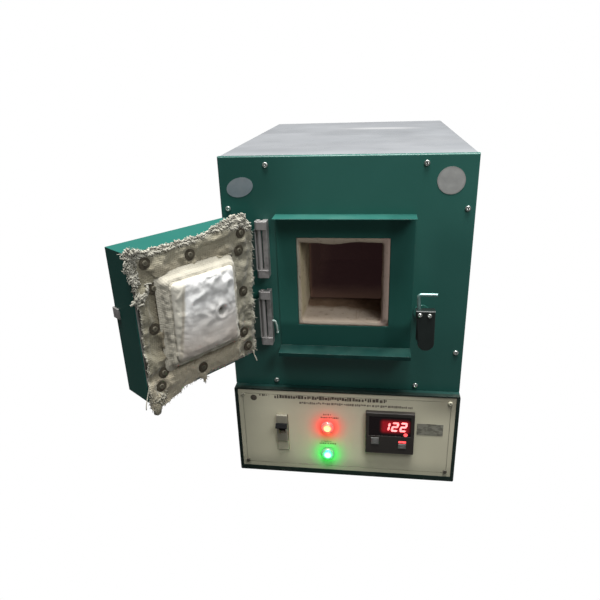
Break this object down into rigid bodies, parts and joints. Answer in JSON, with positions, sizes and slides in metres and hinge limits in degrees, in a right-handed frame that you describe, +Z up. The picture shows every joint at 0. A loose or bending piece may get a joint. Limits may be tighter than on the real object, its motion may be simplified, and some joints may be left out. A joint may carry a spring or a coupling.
{
  "type": "muffle furnace",
  "caption": "Bench-top laboratory muffle furnace with a hinged, cloth-lined plug door standing open, a ceramic chamber, and a control base with breaker, lamps and temperature controller.",
  "frame": {"origin": "centre of the flat underside of the control base, the face it stands on", "axes": "+Z up; +Y from the door side to the rear; +X to the right of someone facing the door side"},
  "size_m": [0.4399, 0.6684, 0.492],
  "materials": {
    "green_paint": "semi-gloss",
    "cover_paint": "gloss",
    "fascia_paint": "satin",
    "zinc_steel": "satin",
    "screw_steel": "satin",
    "hinge_steel": "satin",
    "wire_sleeve": "satin",
    "refractory": "matte",
    "muffle_ceramic": "matte",
    "heating_wire": "matte",
    "fibre_board": "matte",
    "thermocouple_sheath": "matte",
    "terminal_ceramic": "gloss",
    "grey_plastic": "matte",
    "black_plastic": "satin",
    "black_bakelite": "gloss",
    "brass": "satin",
    "lead_insulation": "satin",
    "breaker_plastic": "satin",
    "lamp_bezel": "polished",
    "red_lens": "gloss",
    "green_lens": "gloss",
    "display_window": "gloss",
    "key_rubber": "matte",
    "label_stock": "satin",
    "plug_cloth": "matte",
    "gasket_cloth": "matte",
    "washer_steel": "satin",
    "blackened_steel": "satin",
    "bright_rod": "polished"
  },
  "bodies": {
    "cabinet": {"base_casing": "green_paint", "base_rear_panel": "cover_paint", "blank_plates": "label_stock", "bonding_wire": "wire_sleeve", "breaker_body": "breaker_plastic", "cabinet_floor": "zinc_steel", "cable_gland": "black_plastic", "control_fascia": "fascia_paint", "controller_case": "black_plastic", "controller_window": "display_window", "door_frame_plate": "green_paint", "earth_terminal": "brass", "fascia_screws": "screw_steel", "front_panel": "green_paint", "front_panel_screws": "screw_steel", "green_lamp_lens": "green_lens", "heater_terminal_block": "terminal_ceramic", "heating_coil": "heating_wire", "hinge_bracket_lower": "hinge_steel", "hinge_bracket_upper": "hinge_steel", "hinge_pins": "hinge_steel", "insulation_bottom": "fibre_board", "insulation_left": "fibre_board", "insulation_rear": "fibre_board", "insulation_right": "fibre_board", "insulation_top": "fibre_board", "internal_leads": "lead_insulation", "lamp_bodies": "lamp_bezel", "latch_pivot_bolt": "screw_steel", "latch_post": "green_paint", "muffle_chamber": "muffle_ceramic", "muffle_throat": "refractory", "outer_cover": "cover_paint", "power_contactor": "grey_plastic", "rear_panel": "cover_paint", "rear_panel_screws": "screw_steel", "red_lamp_lens": "red_lens", "terminal_strip": "black_plastic", "thermocouple": "thermocouple_sheath"},
    "door": {"hinge_leaf_upper": "green_paint", "hinge_leaf_lower": "green_paint", "hinge_leaf_screws": "screw_steel", "door_shell": "green_paint", "door_inner_plate": "zinc_steel", "door_insulation": "fibre_board", "door_plug": "fibre_board", "plug_cloth": "plug_cloth", "gasket_cloth": "gasket_cloth", "cloth_washers": "washer_steel", "cloth_screws": "washer_steel", "plug_bolt": "washer_steel", "door_keeper": "hinge_steel", "door_knob": "black_bakelite"},
    "latch": {"latch_plate": "blackened_steel", "latch_rod": "bright_rod", "latch_grip": "black_bakelite", "latch_screws": "screw_steel"},
    "breaker_lever": {"breaker_toggle": "black_plastic"},
    "key_left": {"controller_key_left": "key_rubber"},
    "key_right": {"controller_key_right": "key_rubber"}
  },
  "joints": [
    {"name": "door_hinge", "type": "hinge", "parent": "cabinet", "child": "door", "pos_m": [-0.1144, -0.2433, 0.318], "axis": [0, 0, 1], "range_deg": [-4, 126.6]},
    {"name": "latch_turn", "type": "hinge", "parent": "cabinet", "child": "latch", "pos_m": [0.106, -0.2885, 0.278], "axis": [0, -1, 0], "range_deg": [0, 48]},
    {"name": "breaker_throw", "type": "hinge", "parent": "cabinet", "child": "breaker_lever", "pos_m": [-0.0954, -0.2445, 0.085], "axis": [1, 0, 0], "range_deg": [0, 70]},
    {"name": "left_key_press", "type": "slide", "parent": "cabinet", "child": "key_left", "axis": [0, 1, 0], "range_m": [0, 0.0008], "stiffness_N_per_m": 300},
    {"name": "right_key_press", "type": "slide", "parent": "cabinet", "child": "key_right", "axis": [0, 1, 0], "range_m": [0, 0.0008], "stiffness_N_per_m": 300}
  ]
}
